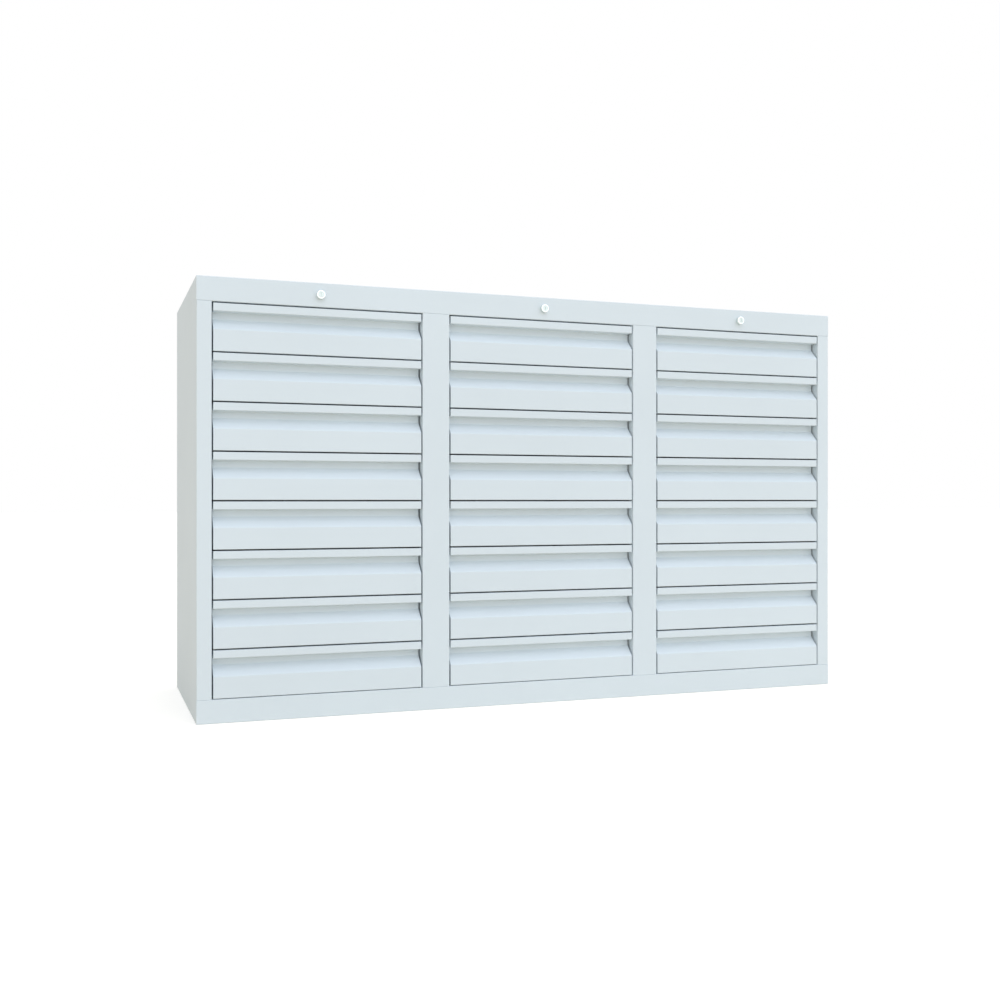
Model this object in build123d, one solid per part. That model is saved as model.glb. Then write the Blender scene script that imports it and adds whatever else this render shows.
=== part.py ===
from build123d import *
from math import cos, radians, sin, tan
import os

# Drawer cabinet of folded sheet steel: three columns of eight drawers, with a lock over each column.
# Millimetres. +Z is up and the front looks towards -Y.
# The origin is on the floor, in the middle of the case's base.

# Case
case_width = 1500.0
case_height = 900.0
case_depth = 500.0
case_sheet = 1.2
stile_width = 30.0
mullion_width = 60.0
top_rail_height = 50.0
bottom_rail_height = 48.5
front_fold_depth = 25.0
seam_gap = 0.1
column_names = ("a", "b", "c")
row_count = 8

# Drawer front
row_gap = 3.0
side_gap = 3.0
lowest_gap = 1.5
front_sheet = 1.0
front_bend = 2.0
lip_height = 16.0
recess_depth = 22.0
recess_wall_height = 15.0
recess_slope = 45.0
rim_clearance = 0.3

# Drawer tray
tray_sheet = 1.0
tray_bend = 2.0
tray_side_gap = 16.0
tray_lift = 8.0
tray_height = 76.0
rim_reach = 11.0
tray_travel = 340.0

# Runners
runner_sheet = 1.2
runner_width = 12.0
runner_inside_height = 9.0
runner_setback = 2.0
slide_clearance = 0.3
stop_thickness = 2.0
stop_drop = 5.0
tab_headroom = 1.5

# Lock cylinder
lock_ring_diameter = 18.4
lock_ring_length = 8.0
lock_ring_rounding = 1.5
barrel_diameter = 16.0
barrel_length = 28.0
barrel_clearance = 0.2
plug_diameter = 12.0
plug_clearance = 0.2
plug_recess = 0.3
plug_collar_diameter = 15.0
plug_collar_length = 2.0
key_slot_width = 1.8
key_slot_height = 7.0
key_slot_depth = 12.0
nut_across_flats = 22.0
nut_length = 4.0

# Lock linkage behind the drawers
lock_space = 52.0
rod_diameter = 6.0
rod_clearance = 0.3
bracket_setback = 16.0
bracket_sheet = 2.0
bracket_width = 24.0
bracket_overhang = 8.0
crank_radius = 12.0
crank_swing = 90.0
crank_thickness = 3.0
crank_rounding = 5.0
crank_to_bar = 4.0
pin_diameter = 4.0
pin_clearance = 0.5
pin_overhang = 1.0
bar_width = 24.0
bar_thickness = 3.0
bar_to_back = 18.0
bar_foot = 20.0
yoke_margin = 8.0
stud_diameter = 5.0
stud_length = 18.0
stud_rise = 30.0
stud_clearance = 1.5
catch_thickness = 2.0
catch_lip = 6.0
catch_arm = 6.0
guide_wall = 4.0
guide_height = 12.0
guide_clearance = 0.4

# Worked out: the grid of drawers
front_plane = -case_depth / 2
back_plane = case_depth / 2
back_inside = back_plane - case_sheet
side_inside = case_width / 2 - case_sheet
top_inside = case_height - case_sheet
opening_top = case_height - top_rail_height
column_count = len(column_names)
columns_total = case_width - 2 * stile_width - (column_count - 1) * mullion_width
column_width = columns_total / column_count
column_step = column_width + mullion_width
row_start = bottom_rail_height + lowest_gap
row_pitch = (opening_top - row_start) / row_count
front_width = column_width - 2 * side_gap
front_height = row_pitch - row_gap
front_depth = recess_depth + 2 * front_sheet

# Worked out: the tray and its runner
tray_width = column_width - 2 * tray_side_gap
tray_front = front_plane + recess_depth + front_sheet
tray_back = back_inside - lock_space
tray_length = tray_back - tray_front
tray_top = tray_lift + tray_height
runner_front = front_plane + front_fold_depth + runner_setback
runner_floor = tray_top - tray_sheet - slide_clearance
tab_height = runner_inside_height - slide_clearance - tray_sheet - tab_headroom
stop_back = tray_back - tray_sheet - tray_travel

# Worked out: the lock linkage
lock_height = case_height - top_rail_height / 2
rest_angle = 180 + crank_swing / 2
bar_lift = 2 * crank_radius * sin(radians(crank_swing / 2))
bar_back = back_inside - bar_to_back
bar_front = bar_back - bar_thickness
crank_back = bar_front - crank_to_bar
crank_front = crank_back - crank_thickness
pin_reach_near = crank_radius * cos(radians(crank_swing / 2))
bar_offset = -(pin_reach_near + crank_radius) / 2
bar_edge = bar_offset + bar_width / 2
stud_y = (bar_front + bar_back) / 2
lip_bottom = stud_rise + stud_diameter / 2 + stud_clearance
lip_front = stud_y + stud_diameter / 2 + stud_clearance
arm_bottom = stud_rise + bar_lift + stud_diameter / 2 + stud_clearance
barrel_bore = plug_diameter + 2 * plug_clearance
barrel_end = front_plane + barrel_length


def column_centre(column):
    """X of the middle of a column, counted from 0 at the left."""
    first = -case_width / 2 + stile_width + column_width / 2
    return first + column * column_step


def row_bottom(row):
    """Z of the lower edge of a row's drawer fronts, counted from 0 at the bottom."""
    return row_start + row * row_pitch


def block(x0, x1, y0, y1, z0, z1):
    """Box between two corners."""
    size = (x1 - x0, y1 - y0, z1 - z0)
    return Pos(x0, y0, z0) * Box(*size, align=(Align.MIN, Align.MIN, Align.MIN))


def post(x, y0, y1, z, diameter):
    """Round bar along Y between two depths."""
    turned = Pos(x, y0, z) * Rot(-90, 0, 0)
    return turned * Cylinder(diameter / 2, y1 - y0, align=(Align.CENTER, Align.CENTER, Align.MIN))


def behind_the_rails():
    """Space that the two rails and their folds take at the front of the case."""
    back = front_plane + front_fold_depth
    below = block(-side_inside, side_inside, front_plane, back, 0, bottom_rail_height + seam_gap)
    above = block(-side_inside, side_inside, front_plane, back, opening_top - seam_gap, case_height)
    return below + above


# Case

def make_case_wrap():
    """One sheet folded into the back, both sides and the two stiles with their inward returns."""
    half = case_width / 2
    outer = block(-half, half, front_plane, back_plane, case_sheet, top_inside)
    inner = block(-side_inside, side_inside, front_plane + case_sheet, back_inside, case_sheet, top_inside)
    mouth = half - stile_width
    opening = block(-mouth, mouth, front_plane, front_plane + case_sheet, case_sheet, top_inside)
    shell = outer - inner - opening
    for side in (-1, 1):
        edges = sorted((side * mouth, side * (mouth + case_sheet)))
        fold_back = front_plane + front_fold_depth
        shell += block(*edges, front_plane, fold_back, case_sheet, top_inside)
    rail_depths = (front_plane, front_plane + case_sheet)
    bottom_rail = block(-half, half, *rail_depths, case_sheet, bottom_rail_height + seam_gap)
    top_rail = block(-half, half, *rail_depths, opening_top - seam_gap, top_inside)
    return shell - behind_the_rails() - bottom_rail - top_rail


def make_top_panel():
    """Flat top with the top rail folded down at the front, drilled for the locks."""
    half = case_width / 2
    fold_back = front_plane + front_fold_depth
    panel = block(-half, half, front_plane, back_plane, top_inside, case_height)
    panel += block(-half, half, front_plane, front_plane + case_sheet, opening_top, case_height)
    panel += block(-side_inside, side_inside, front_plane, fold_back, opening_top, opening_top + case_sheet)
    for column in range(column_count):
        hole = barrel_diameter + 2 * barrel_clearance
        panel -= post(column_centre(column), front_plane, front_plane + case_sheet, lock_height, hole)
    return panel


def make_base_panel():
    """Flat floor with the bottom rail folded up at the front."""
    half = case_width / 2
    fold_back = front_plane + front_fold_depth
    panel = block(-half, half, front_plane, back_plane, 0, case_sheet)
    panel += block(-half, half, front_plane, front_plane + case_sheet, 0, bottom_rail_height)
    fold_bottom = bottom_rail_height - case_sheet
    panel += block(-side_inside, side_inside, front_plane, fold_back, fold_bottom, bottom_rail_height)
    return panel


def make_mullion_post(gap):
    """Channel between two columns: its web is the mullion and its sides are the partitions."""
    centre = column_centre(gap) + column_step / 2
    half = mullion_width / 2
    outer = block(centre - half, centre + half, front_plane, back_inside, case_sheet, top_inside)
    inner_half = half - case_sheet
    front = front_plane + case_sheet
    inner = block(centre - inner_half, centre + inner_half, front, back_inside, case_sheet, top_inside)
    return outer - inner - behind_the_rails()


def make_side_liner(side):
    """Channel inside a side panel, which carries the outer runners level with the stile's return."""
    near = case_width / 2 - stile_width
    front = front_plane + front_fold_depth
    x0, x1 = sorted((side * near, side * side_inside))
    outer = block(x0, x1, front, back_inside, case_sheet, top_inside)
    hollow_x = sorted((side * (near + case_sheet), side * side_inside))
    hollow_y = (front + case_sheet, back_inside - case_sheet)
    return outer - block(*hollow_x, *hollow_y, case_sheet, top_inside)


def make_column_partitions():
    """The two mullion posts and the two side liners, standing between the floor and the top."""
    posts = [make_mullion_post(gap) for gap in range(column_count - 1)]
    liners = [make_side_liner(side) for side in (-1, 1)]
    return posts + liners


# Runners

def make_runner(column, row, side):
    """Channel on a partition, open towards the tray, with a stop that hangs from its top flange."""
    wall = column_width / 2
    floor = row_bottom(row) + runner_floor
    roof = floor + runner_inside_height
    tip = wall - runner_width
    web = wall - runner_sheet
    channel = block(tip, wall, runner_front, tray_back, floor - runner_sheet, roof + runner_sheet)
    channel -= block(tip, web, runner_front, tray_back, floor, roof)
    channel += block(tip, web, stop_back - stop_thickness, stop_back, roof - stop_drop, roof)
    if side < 0:
        channel = mirror(channel, Plane.YZ)
    return Pos(column_centre(column), 0, 0) * channel


def make_runners():
    """A left and a right runner for each drawer."""
    return [
        make_runner(column, row, side)
        for column in range(column_count)
        for row in range(row_count)
        for side in (-1, 1)
    ]


# Drawers

def front_outline(back):
    """Section of a drawer front in depth and height, with rounded folds and its back at a given depth."""
    slope_top = front_height - lip_height - recess_wall_height
    face_top = slope_top - recess_depth * tan(radians(recess_slope))
    lip_bottom_edge = front_height - lip_height
    corners = [
        (0, 0),
        (0, face_top),
        (recess_depth, slope_top),
        (recess_depth, lip_bottom_edge),
        (0, lip_bottom_edge),
        (0, front_height),
        (back, front_height),
        (back, 0),
    ]
    outline = make_face(Polyline(*corners, close=True))
    folds = [v for v in outline.vertices() if v.X < recess_depth + front_sheet / 2]
    return fillet(folds, front_bend)


def make_front_rim():
    """Inward flanges at the back of a front, which close it around the tray's front wall."""
    half = front_width / 2
    depths = (front_depth - front_sheet, front_depth)
    window_half = tray_width / 2 + rim_clearance
    window_heights = (tray_lift - rim_clearance, tray_top + rim_clearance)
    plate = block(-half, half, *depths, 0, front_height)
    return plate - block(-window_half, window_half, *depths, *window_heights)


def make_front(column, row):
    """Front folded from one sheet, with closed ends and a finger recess under its lip."""
    beyond = front_depth + 2 * front_bend
    filled = extrude(Plane.YZ * front_outline(front_depth), front_width / 2, both=True)
    hollow_face = offset(front_outline(beyond), -front_sheet)
    hollow = extrude(Plane.YZ * hollow_face, front_width / 2 - front_sheet, both=True)
    place = Pos(column_centre(column), front_plane, row_bottom(row))
    return place * (filled - hollow + make_front_rim())


def tray_section(inset):
    """Section of the tray in width and height, drawn in from its outside by an inset, up to its rims."""
    half = tray_width / 2 - inset
    top = tray_height
    outline = make_face(Polyline((-half, inset), (half, inset), (half, top), (-half, top), close=True))
    folds = [v for v in outline.vertices() if v.Y < tray_height / 2]
    return fillet(folds, tray_bend - inset)


def make_tray():
    """Open box with out-turned rims that slide in the runners, and a stop tab at the back of each rim."""
    place = Plane.XZ.offset(-tray_back)
    outer = extrude(place * tray_section(0), tray_length)
    inner_back = Plane.XZ.offset(-(tray_back - tray_sheet))
    inner = extrude(inner_back * tray_section(tray_sheet), tray_length - 2 * tray_sheet)
    box = outer - inner
    half = tray_width / 2
    rim_front = runner_front + runner_setback
    tab_front = tray_back - tray_sheet
    for side in (-1, 1):
        x0, x1 = sorted((side * (half - tray_sheet), side * (half + rim_reach)))
        box += block(x0, x1, rim_front, tray_back, tray_height - tray_sheet, tray_height)
        reach = sorted((side * (column_width / 2 - runner_width + runner_sheet), side * (half + rim_reach)))
        box += block(*reach, tab_front, tray_back, tray_height - tray_sheet, tray_height + tab_height)
    return Pos(0, 0, tray_lift) * box


def make_catch():
    """Hooked plate on the back of the tray, which a stud of the lock bar can rise in front of."""
    lip_back = lip_front + catch_lip
    arm_top = arm_bottom + catch_arm
    corners = [
        (tray_back, arm_bottom),
        (lip_front, arm_bottom),
        (lip_front, lip_bottom),
        (lip_back, lip_bottom),
        (lip_back, arm_top),
        (tray_back, arm_top),
    ]
    plate = extrude(Plane.YZ * make_face(Polyline(*corners, close=True)), catch_thickness / 2, both=True)
    return Pos(bar_edge + stud_length / 2, 0, 0) * plate


def make_drawer_tray(column, row):
    """Tray of one drawer with the catch on its back."""
    place = Pos(column_centre(column), 0, row_bottom(row))
    return [place * make_tray(), place * make_catch()]


# Locks

def make_lock_body(x):
    """Ring and barrel of a lock, bored for its plug."""
    ring_front = front_plane - lock_ring_length
    ring = post(x, ring_front, front_plane, lock_height, lock_ring_diameter)
    front_edge = ring.edges().filter_by(GeomType.CIRCLE).sort_by(Axis.Y)[0]
    ring = fillet(front_edge, lock_ring_rounding)
    barrel = post(x, front_plane, barrel_end, lock_height, barrel_diameter)
    bore = post(x, ring_front, barrel_end, lock_height, barrel_bore)
    return ring + barrel - bore


def make_lock_nut(x):
    """Hexagonal nut that holds a lock's barrel against the back of the rail."""
    seat = front_plane + case_sheet
    hexagon = RegularPolygon(nut_across_flats / 2, 6, major_radius=False)
    nut = extrude(Plane.XZ.offset(-(seat + nut_length)) * hexagon, nut_length)
    hole = barrel_diameter + 2 * barrel_clearance
    return Pos(x, 0, lock_height) * (nut - post(0, seat, seat + nut_length, 0, hole))


def make_rod_bracket(x):
    """Plate that hangs from the top and carries the back of a lock's rod."""
    back = crank_front - bracket_setback
    front = back - bracket_sheet
    half = bracket_width / 2
    plate = block(x - half, x + half, front, back, lock_height - bracket_overhang, top_inside)
    return plate - post(x, front, back, lock_height, rod_diameter + 2 * rod_clearance)


def make_bar_guide(x, row):
    """Block on the back panel that a lock bar slides through, halfway between two rows' studs."""
    z0 = row_bottom(row) + stud_rise + row_pitch / 2
    z1 = z0 + guide_height
    centre = x + bar_offset
    slot_half = bar_width / 2 + guide_clearance
    half = slot_half + guide_wall
    slot_front = bar_front - guide_clearance
    slot_back = bar_back + guide_clearance
    body = block(centre - half, centre + half, slot_front - guide_wall, back_inside, z0, z1)
    return body - block(centre - slot_half, centre + slot_half, slot_front, slot_back, z0, z1)


def make_lock_fittings():
    """What fixes the locks to the case: bodies, nuts, rod brackets and bar guides."""
    pieces = []
    for column in range(column_count):
        x = column_centre(column)
        pieces += [make_lock_body(x), make_lock_nut(x), make_rod_bracket(x)]
        pieces += [make_bar_guide(x, 0), make_bar_guide(x, row_count - 2)]
    return pieces


def make_lock_plug(x):
    """Plug with its key slot and the collar that keeps it in the barrel."""
    front = front_plane - lock_ring_length + plug_recess
    collar_front = barrel_end + slide_clearance
    plug = post(x, front, collar_front, lock_height, plug_diameter)
    plug += post(x, collar_front, collar_front + plug_collar_length, lock_height, plug_collar_diameter)
    half_width = key_slot_width / 2
    half_height = key_slot_height / 2
    slot_z = (lock_height - half_height, lock_height + half_height)
    return plug - block(x - half_width, x + half_width, front, front + key_slot_depth, *slot_z)


def make_crank(x):
    """Plate on the back of the rod, and the pin that lifts the bar, at their unlocked angle."""
    centre_plane = Plane.XZ.offset(-crank_back)
    outline = SlotCenterToCenter(crank_radius, 2 * crank_rounding)
    outline = Rot(0, 0, rest_angle) * Pos(crank_radius / 2, 0, 0) * outline
    plate = Pos(x, 0, lock_height) * extrude(centre_plane * outline, crank_thickness)
    pin_x = x + crank_radius * cos(radians(rest_angle))
    pin_z = lock_height + crank_radius * sin(radians(rest_angle))
    pin = post(pin_x, crank_back, bar_back + pin_overhang, pin_z, pin_diameter)
    return [plate, pin]


def make_lock_core(column):
    """All that turns with the key: plug, rod, crank and pin."""
    x = column_centre(column)
    rod_front = barrel_end + slide_clearance + plug_collar_length
    rod = post(x, rod_front, crank_front, lock_height, rod_diameter)
    return [make_lock_plug(x), rod] + make_crank(x)


def make_lock_bar(column):
    """Bar with a slotted yoke at its top for the crank's pin, and a stud for each drawer's catch."""
    x = column_centre(column)
    x0 = x + bar_offset - bar_width / 2
    x1 = x0 + bar_width
    pin_z = lock_height - bar_lift / 2
    slot_half = pin_diameter / 2 + pin_clearance
    yoke_bottom = pin_z - slot_half - yoke_margin
    yoke_top = pin_z + slot_half + yoke_margin
    bar = block(x0, x1, bar_front, bar_back, row_bottom(0) + stud_rise - bar_foot, yoke_bottom)
    yoke = block(x0, x1, bar_front, bar_back, yoke_bottom, yoke_top)
    slot_x = (x - crank_radius - slot_half, x - pin_reach_near + slot_half)
    yoke -= block(*slot_x, bar_front, bar_back, pin_z - slot_half, pin_z + slot_half)
    studs = []
    for row in range(row_count):
        stud = Cylinder(stud_diameter / 2, stud_length, align=(Align.CENTER, Align.CENTER, Align.MIN))
        stud = Pos(x + bar_edge, stud_y, row_bottom(row) + stud_rise) * Rot(0, 90, 0) * stud
        studs.append(stud)
    return [bar, yoke] + studs


# Writing the pieces

def write_piece(name, solids):
    """Writes one node from the solids that it holds."""
    pieces = [solid for shape in solids for solid in shape.solids()]
    shape = pieces[0] if len(pieces) == 1 else Compound(children=pieces)
    export_step(shape, f"parts/{name}.step")


os.makedirs("parts", exist_ok=True)
write_piece("case_wrap", [make_case_wrap()])
write_piece("top_panel", [make_top_panel()])
write_piece("base_panel", [make_base_panel()])
write_piece("column_partitions", make_column_partitions())
write_piece("drawer_runners", make_runners())
write_piece("lock_fittings", make_lock_fittings())
for column, letter in enumerate(column_names):
    write_piece(f"lock_{letter}_core", make_lock_core(column))
    write_piece(f"lock_{letter}_bar", make_lock_bar(column))
    for row in range(row_count):
        write_piece(f"drawer_{letter}{row + 1}_front", [make_front(column, row)])
        write_piece(f"drawer_{letter}{row + 1}_tray", make_drawer_tray(column, row))
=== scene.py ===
"""Drawer cabinet of powder-coated sheet steel: three columns of eight drawers, with a lock over each column.

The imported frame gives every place. What shows is folded here as sheet metal, with rounded folds and real
thickness. The runners and the lock bars inside keep their own solids and get their finish.
"""

import logging
from dataclasses import dataclass
from enum import Enum
from math import cos, pi, radians, sin, sqrt
from typing import Callable, Dict, List, Optional, Sequence, Tuple, Union

import bmesh
import bpy
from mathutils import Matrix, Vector


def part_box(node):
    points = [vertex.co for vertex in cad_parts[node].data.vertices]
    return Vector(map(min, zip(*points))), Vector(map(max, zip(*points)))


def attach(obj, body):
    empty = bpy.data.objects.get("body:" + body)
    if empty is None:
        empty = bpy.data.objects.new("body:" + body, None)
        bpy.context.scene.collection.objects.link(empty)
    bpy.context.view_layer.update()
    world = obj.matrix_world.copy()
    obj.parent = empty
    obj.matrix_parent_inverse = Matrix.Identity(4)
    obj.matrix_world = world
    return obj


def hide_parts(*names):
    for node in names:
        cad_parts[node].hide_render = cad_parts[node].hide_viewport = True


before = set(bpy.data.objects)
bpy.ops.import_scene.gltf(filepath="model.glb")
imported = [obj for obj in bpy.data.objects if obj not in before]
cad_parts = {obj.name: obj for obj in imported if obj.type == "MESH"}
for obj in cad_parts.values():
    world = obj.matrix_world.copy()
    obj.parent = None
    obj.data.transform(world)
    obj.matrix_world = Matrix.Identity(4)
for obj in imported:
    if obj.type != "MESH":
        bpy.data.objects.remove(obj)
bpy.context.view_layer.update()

COLUMNS: Tuple[str, ...] = ("a", "b", "c")
ROWS: Tuple[int, ...] = tuple(range(1, 9))
X, Y, Z = range(3)

log = logging.getLogger("drawer_cabinet")

Piece = bpy.types.Object
Number = Union[int, float]
Span = Tuple[float, float]
Move = Tuple[float, float, float]
Grain = Tuple[float, float, float]
Colour = Tuple[float, float, float, float]
Corner = Union[Vector, Move]
Fold = Tuple[int, float, Sequence[Move]]
Settings = Dict[str, object]
EdgeTest = Callable[[Vector, Vector], bool]
FaceTest = Callable[[Sequence[Vector]], bool]
PartTest = Callable[[Union[bmesh.types.BMEdge, bmesh.types.BMFace]], bool]

# Lengths in metres: a millimetre, how close a place has to be, and how close corners are merged
MM = 0.001
HAIR = 0.00002
WELD = 0.000005

# Angles: a quarter turn, a flat's leftover lines, a fold to round, a curve to shade and an edge to ease
QUARTER = pi / 2
LEVEL = radians(1)
FOLDED = radians(20)
CURVED = radians(38)
SHARP = radians(50)

BLACK: Colour = (0.0, 0.0, 0.0, 1.0)
WHITE: Colour = (1.0, 1.0, 1.0, 1.0)

# What a shader calls things: the rays that look, and the Mix node's colour sockets
SEEN_RAYS: Tuple[str, ...] = ("Is Camera Ray", "Is Glossy Ray", "Is Transmission Ray")
FACTOR, FIRST, SECOND, RESULT = 0, 6, 7, 2


class Pick(Enum):
    """What edit mode picks."""

    EDGES = "EDGE"
    FACES = "FACE"


class Rolled(Enum):
    """The way a strip ran through the rolls, as the scale of its streaks along each axis."""

    DEPTH = (900.0, 9.0, 900.0)
    HEIGHT = (900.0, 900.0, 9.0)


class Sides(Enum):
    """How many sides a turned part or a hole has."""

    RING = 64
    BARREL = 48
    HOLE = 32
    ROD = 24
    NUT = 6


def srgb(red: int, green: int, blue: int) -> Colour:
    """Turns a colour as a screen shows it into the linear colour that a shader takes.

    Args:
        red: red, from 0 to 255.
        green: green, from 0 to 255.
        blue: blue, from 0 to 255.

    Returns:
        The linear colour, with an alpha of 1.
    """

    def channel(value: int) -> float:
        """One channel, by the screen's own curve."""
        share = value / 255
        return share / 12.92 if share <= 0.04045 else ((share + 0.055) / 1.055) ** 2.4

    return channel(red), channel(green), channel(blue), 1.0


def shaded(colour: Colour, share: float) -> Colour:
    """A colour made darker or lighter by a share of itself."""
    return tuple(min(1.0, share * part) for part in colour[:3]) + (1.0,)


def near(value: float, target: float) -> bool:
    """Whether a coordinate is where it is looked for."""
    return abs(value - target) < HAIR


def at(axis: int, place: float) -> EdgeTest:
    """A test for the edges that lie at one place along an axis."""
    return lambda a, b: near(a[axis], place) and near(b[axis], place)


def anywhere(*corners: object) -> bool:
    """A test that takes every edge or face."""
    return True


def column_middle(letter: str) -> float:
    """Where a column's middle is across the cabinet."""
    low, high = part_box(f"drawer_{letter}1_front")
    return (low.x + high.x) / 2


# Shader maths

class Socket:
    """An output socket, with arithmetic that adds Math nodes."""

    def __init__(self, wiring: "Wiring", source: bpy.types.NodeSocket) -> None:
        """Keeps the wiring that the socket belongs to and the socket itself."""
        self.wiring = wiring
        self.source = source

    def _maths(self, operation: str, first: "Term", second: "Term") -> "Socket":
        """Adds one Math node on two terms."""
        return self.wiring.node("ShaderNodeMath", {"operation": operation}, {0: first, 1: second})

    def __add__(self, other: "Term") -> "Socket":
        """self + other."""
        return self._maths("ADD", self, other)

    def __radd__(self, other: "Term") -> "Socket":
        """other + self."""
        return self._maths("ADD", other, self)

    def __mul__(self, other: "Term") -> "Socket":
        """self * other."""
        return self._maths("MULTIPLY", self, other)

    def __rmul__(self, other: "Term") -> "Socket":
        """other * self."""
        return self._maths("MULTIPLY", other, self)


Term = Union[Socket, Number]
Plug = Union[Socket, Number, Sequence[float]]
Plugs = Dict[Union[int, str], Plug]


class Wiring:
    """A node tree and the ways to add to it."""

    def __init__(self, tree: bpy.types.NodeTree) -> None:
        """Empties a tree and keeps it."""
        self.tree = tree
        tree.nodes.clear()

    def node(self, kind: str, settings: Settings, plugs: Plugs, output: Union[int, str] = 0) -> Socket:
        """Adds a node.

        Args:
            kind: the node's type.
            settings: its properties, which are set first. Stops are the places and greys of a ramp.
            plugs: a value or a link for each socket that is used.
            output: the output socket that is wanted.

        Returns:
            That output socket.
        """
        return Socket(self, self._place(kind, settings, plugs).outputs[output])

    def end(self, kind: str, surface: Socket) -> None:
        """Adds the output node and links the surface to it."""
        self._place(kind, {}, {"Surface": surface})

    def blend(self, factor: Term, first: Plug, second: Plug) -> Socket:
        """Mixes two colours by a factor."""
        settings = {"data_type": "RGBA", "blend_type": "MIX", "clamp_factor": True}
        return self.node("ShaderNodeMix", settings, {FACTOR: factor, FIRST: first, SECOND: second}, RESULT)

    def tint(self, factor: Term, colour: Colour, shades: Span) -> Socket:
        """Mixes the darker and the lighter shade of a colour by a factor."""
        return self.blend(factor, *(shaded(colour, share) for share in shades))

    def point(self) -> Socket:
        """The point on the piece, in metres in the cabinet's own frame."""
        return self.node("ShaderNodeTexCoord", {}, {}, "Object")

    def stretched(self, scale: Move) -> Socket:
        """The point on the piece, with each axis scaled on its own."""
        return self.node("ShaderNodeMapping", {}, {"Vector": self.point(), "Scale": scale})

    def seen(self) -> Socket:
        """1 for a ray that looks at the surface, and 0 for one that carries its light elsewhere."""
        return sum(self.node("ShaderNodeLightPath", {}, {}, ray) for ray in SEEN_RAYS)

    def noise(self, point: Socket, grain: Grain) -> Socket:
        """Cloudy noise around 0.5.

        Args:
            point: where it is read.
            grain: how many clouds there are to a metre, how many finer layers, and how strong those are.

        Returns:
            The noise's value.
        """
        scale, detail, rough = grain
        plugs: Plugs = {"Vector": point, "Scale": scale, "Detail": detail, "Roughness": rough}
        return self.node("ShaderNodeTexNoise", {"noise_dimensions": "3D"}, plugs)

    def spread(self, value: Socket, ends: Span) -> Socket:
        """Stretches the part of a value between two ends over the whole way from 0 to 1."""
        stops = tuple(zip(ends, (0.0, 1.0)))
        return self.node("ShaderNodeValToRGB", {"stops": stops}, {"Fac": value}, "Color")

    def bump(self, height: Socket, relief: Span, below: Optional[Socket] = None) -> Socket:
        """Turns a height into a normal.

        Args:
            height: the height, from 0 to 1.
            relief: how far 1 stands above 0, in metres, and how much of it shows.
            below: a coarser normal that it lies on.

        Returns:
            The bumped normal.
        """
        distance, strength = relief
        plugs: Plugs = {"Height": height, "Distance": distance, "Strength": strength}
        if below is not None:
            plugs["Normal"] = below
        return self.node("ShaderNodeBump", {}, plugs, "Normal")

    def _place(self, kind: str, settings: Settings, plugs: Plugs) -> bpy.types.Node:
        """Adds a node, sets it and joins its sockets.

        Args:
            kind: the node's type.
            settings: its properties.
            plugs: a value or a link for each socket that is used.

        Returns:
            The node.
        """
        made = self.tree.nodes.new(kind)
        for key, value in settings.items():
            if key == "stops":
                for element, (place, grey) in zip(made.color_ramp.elements, value):
                    element.position = place
                    element.color = (grey, grey, grey, 1.0)
            else:
                setattr(made, key, value)
        for key, plug in plugs.items():
            if isinstance(plug, Socket):
                self.tree.links.new(plug.source, made.inputs[key])
            else:
                made.inputs[key].default_value = plug
        return made


# Finishes

@dataclass(frozen=True)
class Finish:
    """A finish, as a material with one Principled shader."""

    name: str
    colour: Colour

    def recipe(self, wiring: Wiring) -> Plugs:
        """Works out the shader's sockets in the material's wiring."""
        raise NotImplementedError

    def material(self) -> bpy.types.Material:
        """Makes the finish's material.

        Returns:
            The material.
        """
        material = bpy.data.materials.new(self.name)
        material.use_nodes = True
        wiring = Wiring(material.node_tree)
        shader = wiring.node("ShaderNodeBsdfPrincipled", {}, self.recipe(wiring))
        wiring.end("ShaderNodeOutputMaterial", shader)
        return material


@dataclass(frozen=True)
class PowderCoat(Finish):
    """Light grey powder coat: satin, with orange peel, fine grain and a trace of tone from the baking."""

    cloud: Grain = (2.2, 3.0, 0.55)
    speck: Grain = (1100.0, 2.0, 0.6)
    gloss: Grain = (14.0, 3.0, 0.6)
    peel: Grain = (420.0, 2.0, 0.45)
    grain: Grain = (2100.0, 1.0, 0.5)
    cloud_share: float = 0.6
    tones: Span = (0.3, 0.7)
    shades: Span = (0.96, 1.025)
    roughness: float = 0.56
    roughness_swing: float = 0.12
    peel_relief: Span = (0.00003, 0.8)
    grain_relief: Span = (0.000006, 0.5)
    ior: float = 1.48

    def recipe(self, wiring: Wiring) -> Plugs:
        """Works out the coat's tone, gloss and texture.

        Args:
            wiring: the material's wiring.

        Returns:
            The shader's sockets.
        """
        point = wiring.point()
        cloud = wiring.noise(point, self.cloud)
        speck = wiring.noise(point, self.speck)
        gloss = wiring.noise(point, self.gloss)
        tone = wiring.spread(cloud * self.cloud_share + speck * (1 - self.cloud_share), self.tones)
        peel = wiring.bump(wiring.noise(point, self.peel), self.peel_relief)
        grain = wiring.noise(point, self.grain)
        return {
            "Base Color": wiring.tint(tone, self.colour, self.shades),
            "Roughness": gloss * self.roughness_swing + self.roughness,
            "Normal": wiring.bump(grain, self.grain_relief, peel),
            "IOR": self.ior,
        }


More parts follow.
